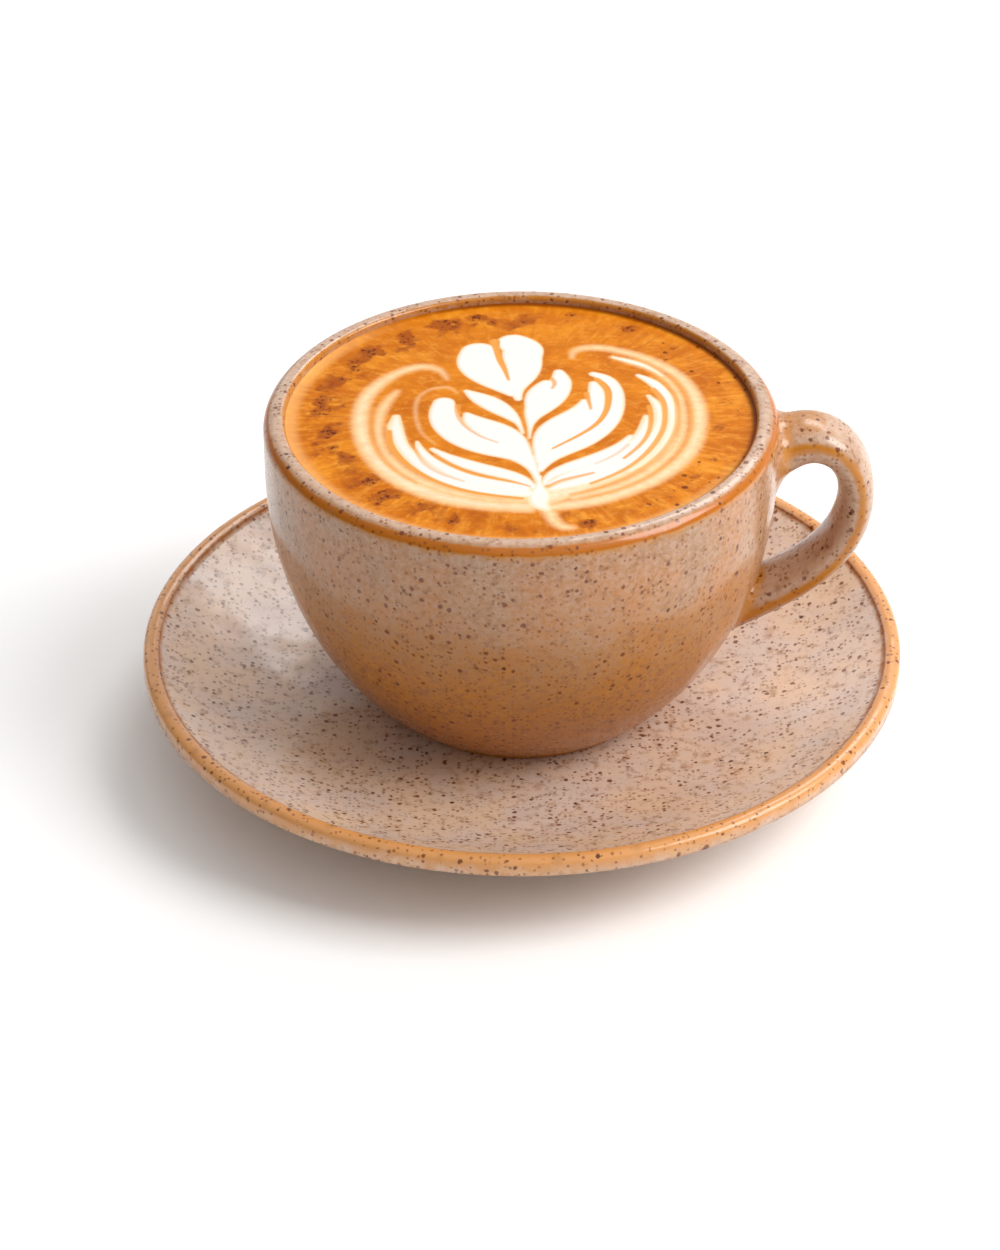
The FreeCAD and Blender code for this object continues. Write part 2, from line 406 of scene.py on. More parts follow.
@dataclass(frozen=True)
class Foam:
    """Crema with poured milk: the mesh says where the milk, its veils and the lines lie."""

    name: str
    crema: str = "d27a12"
    deep: str = "ba6206"
    burnt: str = "5e2404"
    light: str = "e39a3e"
    cream: str = "f0c592"
    half: str = "f0d8b6"
    milk: str = "e3dfda"
    line: str = "dc9444"
    ray_dark: str = "a85606"
    ray_light: str = "e8a03a"
    far: str = "d27a06"
    outer: str = "b05804"
    painted_sheen: str = "e6a032"
    wall: str = "eab06a"
    toasted: str = "94420a"
    pore: str = "5f2606"
    brim_shade: str = "7b3408"

    def make(self) -> bpy.types.Material:
        """Build the material.

        Returns:
            The foam's material.
        """
        graph = Graph(bpy.data.materials.new(self.name))
        place = graph.place()
        x, y, _ = graph.axes(graph.stretched(place, (1 / MM, 1 / MM, 1 / MM)))
        spread = (x * x + y * y).root()
        bent = graph.shifted(place, 160, 0.004)
        crema = self._crema(graph, bent, spread, x, y)
        crema, pits = self._burnt(graph, place, bent, crema, spread, x, y)
        ripple = (graph.noise(place, 900, 2) - 0.5) * 0.22
        veil = graph.attribute(Pour.VEIL.value)
        milk = graph.attribute(Pour.MILK.value) + ripple * 0.5
        thread = graph.noise(graph.stretched(place, (1.0, 1.4, 1.0)), 520, 2).rise(0.3, 0.7, 0.78, 0.97)
        core = (veil + ripple * 2).rise(0.5, 2.2)
        cream = graph.mix(core, srgb(self.cream), srgb(self.half))
        colour = graph.mix((veil + ripple).rise(-1.0, 1.0) * thread, crema, cream)
        shell = (spread + (y + 5) * 0.3).rise(19, 27) * (y * -1).rise(-16, 4)
        white = (milk - shell * 0.35).rise(-0.1, 0.75) * (1 - shell * 0.25)
        colour = graph.mix(milk.rise(-0.3, 0.15) * 0.75, colour, srgb(self.half))
        colour = graph.mix(white, colour, srgb(self.milk))
        seam = (graph.attribute(Pour.LINE.value) + ripple * 0.4).rise(-0.4, 0.08)
        colour = graph.mix(seam * graph.attribute("line_tone"), colour, srgb(self.line))
        height = pits * -0.5 + white * 0.25 + graph.noise(place, 1600, 2) * 0.12
        return graph.surface({
            "Base Color": colour, "Roughness": white.rise(0.0, 1.0, 0.30, 0.42),
            "Normal": graph.bump(height, 0.5, 0.0004), "IOR": 1.2, "Specular IOR Level": 0.2,
        })

    def _crema(self, graph: Graph, bent: Expr, spread: Expr, x: Expr, y: Expr) -> Expr:
        """Colour the brown foam, with its fine rays towards the wall and patches of painted sheen.

        Args:
            graph: The material's nodes.
            bent: The object coordinates, pushed about a little.
            spread: Distance from the cup's axis, in millimetres.
            x: Place along the handle's direction, in millimetres.
            y: Place across it, in millimetres.

        Returns:
            The colour.
        """
        cloud = graph.noise(bent, 130, 4, 0.65)
        streak = graph.noise(graph.stretched(bent, (1.0, 1.6, 1.0)), 420, 3, 0.65)
        base = graph.mix(cloud.rise(0.3, 0.7), srgb(self.crema), srgb(self.deep))
        base = graph.mix(streak.rise(0.45, 0.75, 0.0, 0.55), base, srgb(self.light))
        turned = {0: x / spread * 30, 1: y / spread * 30, 2: spread * 0.16}
        ray = graph.noise(graph.node("ShaderNodeCombineXYZ", None, turned), 1.0, 3, 0.65)
        outer = spread.rise(24, 34)
        base = graph.mix(ray.rise(0.50, 0.72) * outer * 0.50, base, srgb(self.ray_dark))
        base = graph.mix(ray.rise(0.50, 0.30) * outer * 0.45, base, srgb(self.ray_light))
        base = graph.mix((y - 20).rise(0, 24) * 0.45, base, srgb(self.far))
        base = graph.mix(spread.rise(27, 40) * cloud.rise(0.42, 0.62) * 0.25, base, srgb(self.outer))
        # Paler golden patches in the ring towards the rim: a painted sheen on the crema.
        base = graph.mix(spread.rise(30, 38) * cloud.rise(0.48, 0.34) * 0.22, base, srgb(self.painted_sheen))
        wall = spread.rise(42.3, 44.6) * (y * -1 - x * 0.8).rise(-26, 10) * 0.55
        return graph.mix(wall, base, srgb(self.wall))

    def _burnt(self, graph: Graph, place: Expr, bent: Expr, base: Expr, spread: Expr, x: Expr,
               y: Expr) -> tuple[Expr, Expr]:
        """Add the burnt clusters, the open pores and a painted shade along the far right brim to the brown
        foam.

        Args:
            graph: The material's nodes.
            place: The object coordinates.
            bent: The same, pushed about a little.
            base: The foam's colour so far.
            spread: Distance from the cup's axis, in millimetres.
            x: Place along the handle's direction, in millimetres.
            y: Place across it, in millimetres.

        Returns:
            The colour, and where the foam is pitted.
        """
        left = (x * -1 + y * 0.35).rise(-4, 12)
        front = (y * -1 - 25).rise(0, 8) * 0.55
        patch = graph.noise(place, 170, 2, 0.5).rise(0.44, 0.60)
        zone = spread.rise(32.5, 36.5) * spread.rise(43.6, 41.0) * (left + front).rise(0, 1) * patch
        scorch = graph.attribute("scorch")
        froth = graph.dots(graph.shifted(place, 900, 0.0016), 0.0010, 0.85, 0.60, 1.1)
        stain = (graph.noise(bent, 300, 3, 0.6) - 0.5) * 2.0
        toast = (scorch * 0.7 + zone * 0.75 + stain).rise(0.2, 1.1)
        base = graph.mix(toast * 0.8, base, srgb(self.toasted))
        burnt = (scorch * 0.9 + zone * 0.35 + stain).rise(0.35, 0.8) * froth
        base = graph.mix(burnt * 0.92, base, srgb(self.burnt))
        right = spread.rise(33, 39) * (x - 10).rise(0, 20)
        pores = graph.dots(graph.shifted(place, 900, 0.0008), 0.0017, 0.38, 0.30, 0.5) * right
        base = graph.mix(pores * 0.85, base, srgb(self.pore))
        # A dark band along the drink's far and right edge: painted shade cast by the cup's inner wall.
        brim_shade = spread.rise(44.3, 45.5) * (x * 0.8 + y * 0.6).rise(-5, 22)
        return graph.mix(brim_shade * 0.85, base, srgb(self.brim_shade)), (burnt + pores).rise(0, 1)


@dataclass(frozen=True)
class Paper:
    """The plain pale paper that the set stands on."""

    name: str = "floor_paper"
    colour: str = "fbfaf9"
    roughness: float = 0.9

    def make(self) -> bpy.types.Material:
        """Return the material."""
        graph = Graph(bpy.data.materials.new(self.name))
        return graph.surface({"Base Color": srgb(self.colour), "Roughness": self.roughness})


# ----------------------------------------------------------------- mesh making


def through(points: list, steps: int) -> np.ndarray:
    """Points along a smooth curve through the given ones.

    Args:
        points: The points, each a tuple of numbers.
        steps: Steps taken along the whole curve.

    Returns:
        One row for each point of the curve.
    """
    knots = np.array(points, float)
    spans = np.linalg.norm(np.diff(knots[:, :2], axis=0), axis=1)
    places = np.concatenate([[0], np.cumsum(spans)])
    count = len(knots)
    matrix = np.eye(count)
    right = np.zeros_like(knots)
    for i in range(1, count - 1):
        matrix[i, i - 1:i + 2] = (spans[i - 1], 2 * (spans[i - 1] + spans[i]), spans[i])
        right[i] = 6 * ((knots[i + 1] - knots[i]) / spans[i] - (knots[i] - knots[i - 1]) / spans[i - 1])
    bend = np.linalg.solve(matrix, right)
    wanted = np.linspace(0, places[-1], steps + 1)
    span = np.clip(np.searchsorted(places, wanted, side="right") - 1, 0, count - 2)
    width = spans[span][:, None]
    ahead = (places[span + 1] - wanted)[:, None]
    behind = (wanted - places[span])[:, None]
    cubic = (bend[span] * ahead ** 3 + bend[span + 1] * behind ** 3) / (6 * width)
    start = (knots[span] / width - bend[span] * width / 6) * ahead
    end = (knots[span + 1] / width - bend[span + 1] * width / 6) * behind
    return cubic + start + end


def hump(value: np.ndarray, centre: float, half_width: float) -> np.ndarray:
    """A soft hump, 1 at the centre and 0 beyond the half width."""
    return np.clip(1 - ((value - centre) / half_width) ** 2, 0, 1)


def ease(value: np.ndarray, low: float, high: float) -> np.ndarray:
    """Ease from 0 at low to 1 at high."""
    share = np.clip((value - low) / (high - low), 0, 1)
    return share * share * (3 - 2 * share)


def positions(mesh: bpy.types.Mesh) -> np.ndarray:
    """Every vertex's place.

    Args:
        mesh: The mesh.

    Returns:
        One row for each vertex.
    """
    flat = np.empty(len(mesh.vertices) * 3, dtype=np.float32)
    mesh.vertices.foreach_get("co", flat)
    return flat.reshape(-1, 3).astype(float)


def set_number(mesh: bpy.types.Mesh, name: str, values: np.ndarray) -> None:
    """Keep one number at each of the mesh's points."""
    made = mesh.attributes.new(name, "FLOAT", "POINT")
    made.data.foreach_set("value", values.astype(np.float32))


def finished(shape: bmesh.types.BMesh, name: str, merge: float = 1e-6) -> bpy.types.Object:
    """Turn a bmesh into a smooth-shaded object with its faces outwards.

    Args:
        shape: The bmesh, which is freed.
        name: The piece's name.
        merge: Points nearer together than this become one.

    Returns:
        The new object.
    """
    bmesh.ops.remove_doubles(shape, verts=shape.verts, dist=merge)
    bmesh.ops.recalc_face_normals(shape, faces=shape.faces)
    for face in shape.faces:
        face.smooth = True
    mesh = bpy.data.meshes.new(name)
    shape.to_mesh(mesh)
    shape.free()
    piece = bpy.data.objects.new(name, mesh)
    bpy.context.scene.collection.objects.link(piece)
    return piece


@dataclass
class Outline:
    """Half of a turned shape: points of (distance from the axis, height)."""

    points: list[tuple[float, float]]

    def line(self, radius: float, height: float, steps: int = 1) -> None:
        """Go straight to a point.

        Args:
            radius: Its distance from the axis.
            height: Its height.
            steps: Number of equal steps taken.
        """
        start = self.points[-1]
        for step in range(1, steps + 1):
            share = step / steps
            self.points.append((start[0] + (radius - start[0]) * share,
                                start[1] + (height - start[1]) * share))

    def bow(self, centre: tuple[float, float], size: tuple[float, float], first: float,
            last: float, steps: int, power: float = 1.0) -> None:
        """Follow an oval.

        Args:
            centre: The oval's centre.
            size: Its half width and half height.
            first: Angle at the start, from the outward direction.
            last: Angle at the end.
            steps: Number of points.
            power: 1 for an ellipse; under 1 squares it off.
        """
        for step in range(steps + 1):
            angle = first + (last - first) * step / steps
            out, up = math.cos(angle), math.sin(angle)
            self.points.append((centre[0] + size[0] * math.copysign(abs(out) ** power, out),
                                centre[1] + size[1] * math.copysign(abs(up) ** power, up)))

    def turned(self, turns: int) -> bmesh.types.BMesh:
        """Spin the outline round the axis.

        Args:
            turns: Number of steps in the full turn.

        Returns:
            The closed shape.
        """
        shape = bmesh.new()
        verts = [shape.verts.new((radius, 0, height)) for radius, height in self.points]
        edges = [shape.edges.new(pair) for pair in zip(verts, verts[1:])]
        bmesh.ops.spin(shape, geom=verts + edges, cent=(0, 0, 0), axis=(0, 0, 1), angle=FULL_TURN,
                       steps=turns, use_merge=True)
        return shape


# ---------------------------------------------------------------------- saucer


@dataclass
class Saucer:
    """A shallow dish with a flat well, a rounded bead at its rim and a foot ring."""

    radius: float
    height: float
    wall: float = 3.8 * MM
    well_radius: float = 31.0 * MM
    well_height: float = 8.2 * MM
    bead_width: float = 3.2 * MM
    bead_rise: float = 0.8 * MM
    edge_drop: float = 1.3 * MM
    foot_radius: float = 41.0 * MM
    foot_width: float = 5.0 * MM
    foot_round: float = 1.2 * MM
    turns: int = 288

    def outline(self) -> Outline:
        """Draw the half section, from the well's middle round to the underside's.

        Returns:
            The outline.
        """
        rim = self.radius - self.bead_width
        rise = self.height - self.bead_rise - self.well_height
        run = rim - self.well_radius
        sweep_radius = (run * run + rise * rise) / (2 * rise)
        centre = (self.well_radius, self.well_height + sweep_radius)
        sweep = math.asin(run / sweep_radius)
        shape = Outline([(0, self.well_height)])
        shape.line(self.well_radius, self.well_height, 14)
        shape.bow(centre, (sweep_radius, sweep_radius), -QUARTER_TURN, sweep - QUARTER_TURN, 40)
        self._bead(shape, rim)
        under = sweep_radius + self.wall
        edge = math.asin((self.radius - self.well_radius) / under)
        foot = math.asin((self.foot_radius - self.well_radius) / under)
        shape.bow(centre, (under, under), edge - QUARTER_TURN, foot - QUARTER_TURN, 30)
        self._foot(shape)
        return shape

    def _bead(self, shape: Outline, rim: float) -> None:
        """Add the bead, a half oval that rolls down to the rim's outer face.

        Args:
            shape: The outline so far.
            rim: Where the bead starts, from the axis.
        """
        half = self.bead_width * 0.5
        low, drop = self.height - self.bead_rise, self.height - self.edge_drop
        shape.bow((rim + half, low), (half, self.bead_rise), math.pi, QUARTER_TURN, 10)
        shape.bow((rim + half, drop), (half, self.edge_drop), QUARTER_TURN, 0, 12)

    def _foot(self, shape: Outline) -> None:
        """Add the foot ring and the underside's flat middle.

        Args:
            shape: The outline so far.
        """
        inner = self.foot_radius - self.foot_width
        size = (self.foot_round, self.foot_round)
        floor = self.well_height - self.wall
        shape.line(self.foot_radius, self.foot_round, 2)
        shape.bow((self.foot_radius - self.foot_round, self.foot_round), size, 0, -QUARTER_TURN, 6)
        shape.bow((inner + self.foot_round, self.foot_round), size, -QUARTER_TURN, -math.pi, 6)
        shape.line(inner, floor - 0.5 * MM, 3)
        shape.line(inner - 0.5 * MM, floor, 1)
        shape.line(0, floor, 12)

    def build(self, finish: bpy.types.Material) -> bpy.types.Object:
        """Make the saucer.

        Args:
            finish: Its glaze.

        Returns:
            The piece.
        """
        piece = finished(self.outline().turned(self.turns), "saucer_body")
        place = positions(piece.data)
        inward = self.radius - np.hypot(place[:, 0], place[:, 1])
        below = self.height - place[:, 2]
        above = ease(below, 2.4 * MM, 1.2 * MM)
        bead = hump(inward, 1.3 * MM, 2.6 * MM) * above
        face = ease(inward, 9 * MM, 2 * MM) * ease(below, 7 * MM, 2.5 * MM) * (1 - above) * 0.5
        set_number(piece.data, "thin", np.maximum(bead * 1.1, face))
        # Just inside the bead the edge line is orange glaze darkened by painted shade in the crease where
        # the bead meets the dish.
        set_number(piece.data, "edge", hump(inward, 3.5 * MM, 0.75 * MM) * above * 0.75)
        piece.data.materials.append(finish)
        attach(piece, ROOT)
        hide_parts("saucer")
        return piece


# ------------------------------------------------------------------------- cup


@dataclass(frozen=True)
class Wall:
    """The curve of the cup's outer side."""

    radius: float
    middle: float
    depth: float

    def at(self, height: float | np.ndarray) -> float | np.ndarray:
        """Return how far the side stands from the axis at a height."""
        below = np.maximum(self.middle - height, 0) / self.depth
        return self.radius * np.sqrt(np.maximum(1 - below ** 2, 0))


@dataclass
class Handle:
    """The cup's strap: an oval section led along a curve between two roots on the side."""

    side: float
    lip: float
    reach: float = 15.5 * MM
    top: float = 6.3 * MM
    drop: float = 40.8 * MM
    top_width: float = 13.6 * MM
    low_width: float = 11.6 * MM
    thickness: float = 7.0 * MM
    root_thickness: float = 14.5 * MM
    squareness: float = 2.4
    blend: float = 3.2 * MM
    sunk: float = 2.0 * MM
    ridge_angle: float = 14.0
    ridge_spread: float = 21.0
    course: tuple = (
        (-0.55, 0.2), (0.08, 0.035), (0.38, 0.0), (0.74, 0.045),
        (1.0, 0.24), (0.86, 0.54), (0.23, 0.785), (-1.09, 1.0),
    )
    stations: int = 150
    around: int = 72

    def middle(self) -> np.ndarray:
        """Work out the strap's middle line.

        Returns:
            Its points as (distance out, height).
        """
        knots = [(self.side + out * self.reach, self.lip - self.top - down * self.drop)
                 for out, down in self.course]
        return through(knots, self.stations)

    def across(self, share: np.ndarray) -> tuple[np.ndarray, np.ndarray]:
        """Half width and half thickness of the strap.

        Args:
            share: How far along the strap, from 0 to 1.

        Returns:
            The two half sizes.
        """
        width = self.top_width + (self.low_width - self.top_width) * share
        flare = np.abs(2 * share - 1) ** 3
        thickness = self.thickness + (self.root_thickness - self.thickness) * flare
        return width / 2, thickness / 2

    def frames(self) -> tuple[np.ndarray, np.ndarray]:
        """Work out which way is outwards all along the strap.

        Returns:
            The middle line's points and the outward unit vectors there.
        """
        line = self.middle()
        along = np.gradient(line, axis=0)
        along /= np.linalg.norm(along, axis=1)[:, None]
        return line, np.stack([-along[:, 1], along[:, 0]], axis=1)

    def build(self, wall: Wall) -> bpy.types.Object:
        """Make the strap with ends sunk into the wall.

        Args:
            wall: The cup's side, which the roots are blended into.

        Returns:
            The strap on its own.
        """
        shape = bmesh.new()
        bmesh.ops.create_grid(shape, x_segments=self.around, y_segments=self.stations, size=1)
        line, outward = self.frames()
        power = 2 / self.squareness
        for vert in shape.verts:
            angle = (vert.co.x + 1) * math.pi
            station = round((vert.co.y + 1) / 2 * self.stations)
            half_width, half_thick = self.across(np.array(station / self.stations))
            side = math.copysign(abs(math.cos(angle)) ** power, math.cos(angle)) * half_width
            out = math.copysign(abs(math.sin(angle)) ** power, math.sin(angle)) * half_thick
            vert.co = self._rooted(line[station], outward[station], side, out, wall)
        bmesh.ops.remove_doubles(shape, verts=shape.verts, dist=1e-6)
        rims = [edge for edge in shape.edges if edge.is_boundary]
        bmesh.ops.holes_fill(shape, edges=rims, sides=0)
        return finished(shape, "strap")

    def _rooted(self, middle: np.ndarray, outward: np.ndarray, side: float, out: float,
                wall: Wall) -> tuple[float, float, float]:
        """Place one point of the strap, swelling it where it nears the wall.

        Args:
            middle: The middle line's point here.
            outward: The outward direction here.
            side: The point's distance to the side of the middle.
            out: Its distance outwards from the middle.
            wall: The cup's side.

        Returns:
            The point's place.
        """
        x, z = middle + outward * out
        near = min(max(self.blend - math.hypot(x, side) + wall.at(z), 0.0), self.blend)
        push = (self.blend - math.sqrt(self.blend ** 2 - near ** 2)) / math.hypot(side, out)
        x, z = middle + outward * out * (1 + push * 0.3)
        y = side * (1 + push)
        deeper = max((wall.at(z) - self.sunk) / math.hypot(x, y), 1.0)
        return x * deeper, y * deeper, z

    def ridges(self, place: np.ndarray) -> np.ndarray:
        """Where the strap's glaze is thin.

        Args:
            place: Points of the finished cup.

        Returns:
            How thin the glaze is at each point.
        """
        line, outward = self.frames()
        thin = np.zeros(len(place))
        chosen = np.nonzero(place[:, 0] > self.side * 0.6)[0]
        flat = place[chosen][:, [0, 2]]
        gaps = np.linalg.norm(flat[:, None, :] - line[None, :, :], axis=2)
        nearest = gaps.argmin(axis=1)
        share = nearest / self.stations
        half_width, half_thick = self.across(share)
        out = np.einsum("ij,ij->i", flat - line[nearest], outward[nearest]) / half_thick
        side = place[chosen, 1] / half_width
        turn = np.degrees(np.arctan2(out, np.abs(side)))
        on_strap = (gaps.min(axis=1) < half_thick * 1.4) & (np.abs(side) < 1.5)
        thin[chosen] = on_strap * hump(turn, self.ridge_angle, self.ridge_spread)
        return thin


@dataclass
class Cup:
    """A bowl-shaped cup on a low foot, with a rounded lip and one strap handle."""

    bottom: float
    lip: float
    radius: float = 50.0 * MM
    wall: float = 4.3 * MM
    upright: float = 11.8 * MM
    base_radius: float = 29.6 * MM
    foot_radius: float = 27.4 * MM
    foot_width: float = 4.0 * MM
    foot_height: float = 2.4 * MM
    foot_round: float = 0.7 * MM
    floor: float = 5.0 * MM
    fullness: float = 2.5
    outer_round: float = 2.7 * MM
    inner_round: float = 0.9 * MM
    turns: int = 256

    def side(self) -> Wall:
        """Work out the cup's outer side.

        Returns:
            Its curve.
        """
        middle = self.lip - self.upright
        height = middle - self.bottom - self.foot_height
        depth = height / math.sqrt(1 - (self.base_radius / self.radius) ** 2)
        return Wall(self.radius, middle, depth)

    def outline(self) -> Outline:
        """Draw the half section, from under the floor round to the bowl's middle.

        Returns:
            The outline.
        """
        inner_foot = self.foot_radius - self.foot_width
        base = self.bottom + self.foot_height
        size = (self.foot_round, self.foot_round)
        low = self.bottom + self.foot_round
        shape = Outline([(0, base)])
        shape.line(inner_foot - 0.4 * MM, base, 8)
        shape.line(inner_foot, base - 0.4 * MM)
        shape.line(inner_foot, low, 1)
        shape.bow((inner_foot + self.foot_round, low), size, math.pi, math.pi + QUARTER_TURN, 5)
        shape.bow((self.foot_radius - self.foot_round, low), size, -QUARTER_TURN, 0, 5)
        shape.line(self.foot_radius, base - 0.5 * MM, 2)
        shape.bow((self.foot_radius + 0.5 * MM, base - 0.5 * MM), (0.5 * MM, 0.5 * MM), math.pi,
                  QUARTER_TURN, 4)
        shape.line(self.base_radius - 0.6 * MM, base, 1)
        side = self.side()
        first = math.asin(self.base_radius / self.radius) - QUARTER_TURN
        shape.bow((0, side.middle), (self.radius, side.depth), first + 0.012, 0, 84)
        self._lip(shape)
        bowl = self.radius - self.wall
        deep = side.middle - self.bottom - self.foot_height - self.floor
        shape.line(bowl, side.middle, 14)
        shape.bow((0, side.middle), (bowl, deep), 0, -QUARTER_TURN, 60, 2 / self.fullness)
        return shape

    def _lip(self, shape: Outline) -> None:
        """Add the upright part of the side and the rounded lip.

        Args:
            shape: The outline so far.
        """
        shoulder = self.lip - self.outer_round
        shape.line(self.radius, shoulder, 12)
        shape.bow((self.radius - self.outer_round, shoulder), (self.outer_round, self.outer_round),
                  0, QUARTER_TURN, 22)
        inside = self.radius - self.wall + self.inner_round
        shape.bow((inside, self.lip - self.inner_round), (self.inner_round, self.inner_round),
                  QUARTER_TURN, math.pi, 10)

    def build(self, finish: bpy.types.Material) -> bpy.types.Object:
        """Make the cup with its handle as one piece.

        Args:
            finish: Its glaze.

        Returns:
            The piece.
        """
        handle = Handle(self.radius, self.lip)
        body = finished(self.outline().turned(self.turns), "cup_body")
        strap = handle.build(self.side())
        joined = self._joined(body, strap)
        place = positions(joined.data)
        self._breaks(joined.data, place, handle.ridges(place))
        joined.data.materials.append(finish)
        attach(joined, ROOT)
        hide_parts("cup")
        return joined

    def _joined(self, body: bpy.types.Object, strap: bpy.types.Object) -> bpy.types.Object:
        """Fuse the strap into the body.

        Args:
            body: The turned cup.
            strap: The handle, which is removed afterwards.

        Returns:
            The body with the handle on it.
        """
        union = body.modifiers.new("join", "BOOLEAN")
        union.operation = "UNION"
        union.solver = "EXACT"
        union.object = strap
        graph = bpy.context.evaluated_depsgraph_get()
        mesh = bpy.data.meshes.new_from_object(body.evaluated_get(graph))
        body.modifiers.clear()
        body.data = mesh
        bpy.data.objects.remove(strap)
        shape = bmesh.new()
        shape.from_mesh(mesh)
        bmesh.ops.remove_doubles(shape, verts=shape.verts, dist=5e-6)
        seam = [vert for vert in shape.verts if self._near_root(vert.co)]
        for _ in range(8):
            bmesh.ops.smooth_vert(shape, verts=seam, factor=0.5, use_axis_x=True, use_axis_y=True,
                                  use_axis_z=True)
        for face in shape.faces:
            face.smooth = True
        shape.to_mesh(mesh)
        shape.free()
        return body

    def _near_root(self, place: Vector) -> bool:
        """Tell whether a point lies where the strap meets the side.

        Args:
            place: The point.

        Returns:
            Whether it does.
        """
        if place.x < self.radius * 0.5 or abs(place.y) > 13 * MM or place.z > self.lip - 3.2 * MM:
            return False
        clear = math.hypot(place.x, place.y) - self.side().at(place.z)
        return -1.2 * MM < clear < 2.2 * MM

    def _clearance(self, place: np.ndarray) -> np.ndarray:
        """Measure how far points stand out from the side.

        Args:
            place: The points.

        Returns:
            Metres outwards by the handle, and 0 elsewhere.
        """
        clear = np.hypot(place[:, 0], place[:, 1]) - self.side().at(place[:, 2])
        return np.where((place[:, 0] > self.radius * 0.5) & (np.abs(place[:, 1]) < 12 * MM), clear, 0)

    def _breaks(self, mesh: bpy.types.Mesh, place: np.ndarray, ridge: np.ndarray) -> None:
        """Mark where the glaze breaks: the lip, the inner edge, the toe and the handle.

        Args:
            mesh: The cup's mesh.
            place: Its points.
            ridge: How thin the glaze is along the strap.
        """
        spread = np.hypot(place[:, 0], place[:, 1])
        height = place[:, 2]
        shoulder = self.lip - self.outer_round
        bowl = self.radius - self.wall
        angle = np.degrees(np.arctan2(height - shoulder, spread - (self.radius - self.outer_round)))
        at_lip = (spread > self.radius - self.outer_round) * (height > shoulder - 1 * MM)
        line = hump(angle, 38, 24) * at_lip * 1.1
        halo = hump(angle, 28, 44) * at_lip * 0.62
        near_lip = ease(height, self.lip - 1.6 * MM, self.lip - 0.6 * MM)
        inner = hump(spread, bowl + 0.25 * MM, 0.5 * MM) * near_lip
        toe = hump(height, self.bottom + self.foot_height + 0.2 * MM, 1.3 * MM) * (spread > self.foot_radius)
        clear = self._clearance(place)
        root = hump(clear, 1.8 * MM, 1.7 * MM) * 0.55
        ridge = ridge * ease(clear, 0.2 * MM, 1.5 * MM)
        strap = ease(clear, 0.3 * MM, 4 * MM) * (height > self.bottom + 3 * MM) * (height < shoulder)
        crown = ease(angle, 55, 80) * ease(height, self.lip - 1.2 * MM, self.lip - 0.5 * MM)
        crown *= spread > bowl - 0.1 * MM
        thin = np.maximum.reduce([halo, ridge * 0.95, inner * 0.9, toe, root])
        set_number(mesh, "thin", thin)
        set_number(mesh, "edge", np.maximum.reduce([line, inner * 0.35, ridge * 0.35]))
        set_number(mesh, "grey", np.maximum(strap, crown))


# ----------------------------------------------------------------------- drink


class Pour(Enum):
    """What the strokes of the poured pattern are, by the mesh attributes that hold them."""

    MILK = "milk"
    VEIL = "veil"
    LINE = "line"


@dataclass(frozen=True)
class Stroke:
    """One stroke: (x, y, half width) in millimetres along its length."""

    points: tuple

    def reach(self, place: np.ndarray) -> np.ndarray:
        """How far inside the stroke each point lies.

        Args:
            place: Points of the surface in millimetres, one row each.

        Returns:
            Millimetres inside the stroke's edge, negative outside it.
        """
        path = through(list(self.points), 8 * (len(self.points) - 1))
        best = np.full(len(place), -99.0)
        widest = float(path[:, 2].max()) + 4.0
        low, high = path[:, :2].min(axis=0) - widest, path[:, :2].max(axis=0) + widest
        near = np.nonzero(np.all((place > low) & (place < high), axis=1))[0]
        spots = place[near]
        found = best[near]
        for start, end in zip(path, path[1:]):
            step = end[:2] - start[:2]
            along = np.clip(((spots - start[:2]) @ step) / max(float(step @ step), 1e-9), 0, 1)
            gap = np.hypot(*(spots - start[:2] - along[:, None] * step).T)
            found = np.maximum(found, start[2] + (end[2] - start[2]) * along - gap)
        best[near] = found
        return best


